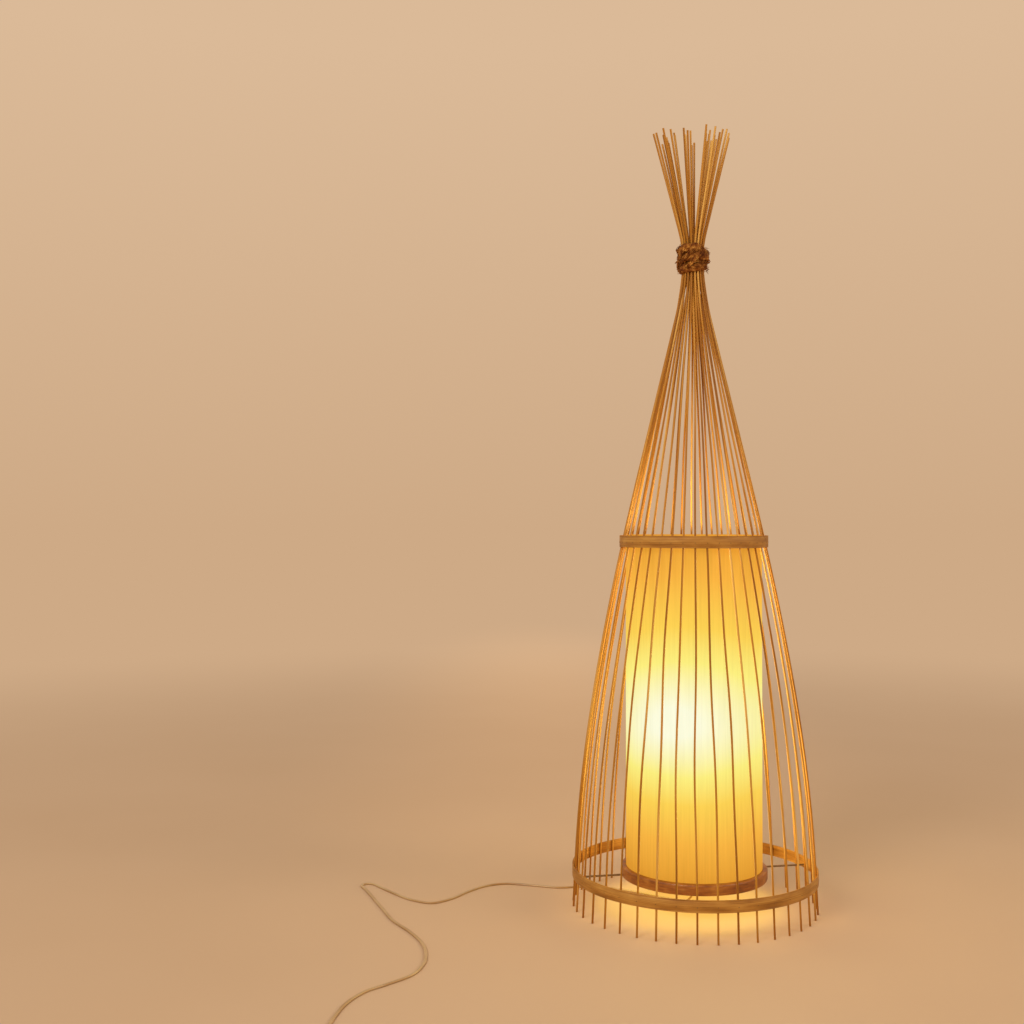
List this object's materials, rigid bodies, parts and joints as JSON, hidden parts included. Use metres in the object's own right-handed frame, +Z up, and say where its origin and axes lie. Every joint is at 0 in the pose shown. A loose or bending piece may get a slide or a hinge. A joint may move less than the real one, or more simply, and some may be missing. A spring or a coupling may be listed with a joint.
{
  "type": "floor lamp",
  "caption": "Floor lamp of thin round rattan sticks tied into a waisted cage with a splayed brush top, round a tall lit paper cylinder, with a flat cord, inline switch and plug.",
  "frame": {"origin": "on the floor, under the middle of the cage", "axes": "+Z up along the lamp's middle, front faces -Y, the cord leaves to the left, -X"},
  "size_m": [0.7083, 0.8104, 1.1932],
  "materials": {
    "stick": "smooth round rattan, satin, honey brown",
    "strip": "flat split rattan strip, satin",
    "tie": "rough twisted bark fibre, matte",
    "paper": "translucent paper, lit warm from inside",
    "ring": "stained red-brown ring, satin",
    "wire": "dark brown lacquer",
    "batten": "bare planed wood",
    "steel": "zinc plated",
    "holder": "cream moulded plastic",
    "brass": "pressed brass",
    "glass": "frosted glass",
    "cord": "clear brown-gold flat flex",
    "fitting": "moulded plastic"
  },
  "bodies": {
    "root": {"stick_01": "stick", "stick_02": "stick", "stick_03": "stick", "stick_04": "stick", "stick_05": "stick", "stick_06": "stick", "stick_07": "stick", "stick_08": "stick", "stick_09": "stick", "stick_10": "stick", "stick_11": "stick", "stick_12": "stick", "stick_13": "stick", "stick_14": "stick", "stick_15": "stick", "stick_16": "stick", "stick_17": "stick", "stick_18": "stick", "stick_19": "stick", "stick_20": "stick", "stick_21": "stick", "stick_22": "stick", "stick_23": "stick", "stick_24": "stick", "stick_25": "stick", "stick_26": "stick", "stick_27": "stick", "stick_28": "stick", "stick_29": "stick", "stick_30": "stick", "stick_31": "stick", "stick_32": "stick", "stick_33": "stick", "stick_34": "stick", "stick_35": "stick", "stick_36": "stick", "stick_37": "stick", "stick_38": "stick", "stick_39": "stick", "stick_40": "stick", "lower_hoop": "strip", "upper_hoop": "strip", "neck_tie": "tie", "shade_skin": "paper", "shade_top_wire": "wire", "shade_base_ring": "ring", "support_rod": "wire", "holder_batten": "batten", "stem_tube": "steel", "stem_nut": "steel", "cord_grip": "holder", "lampholder_cup": "holder", "lampholder_insert": "brass", "cord_lead": "cord", "switch_body": "fitting", "cord_coil": "cord", "plug": "fitting"},
    "bulb": {"bulb_cap": "steel", "bulb_globe": "glass"},
    "rocker": {"switch_rocker": "holder"}
  },
  "joints": [
    {"name": "rocker_hinge", "type": "hinge", "parent": "root", "child": "rocker", "pos_m": [-0.398, -0.55, 0.0115], "axis": [0, 1, 0], "range_deg": [-16, 0]},
    {"name": "bulb_slide", "type": "slide", "parent": "root", "child": "bulb", "axis": [0, 0, 1], "range_m": [0, 0.035]}
  ]
}
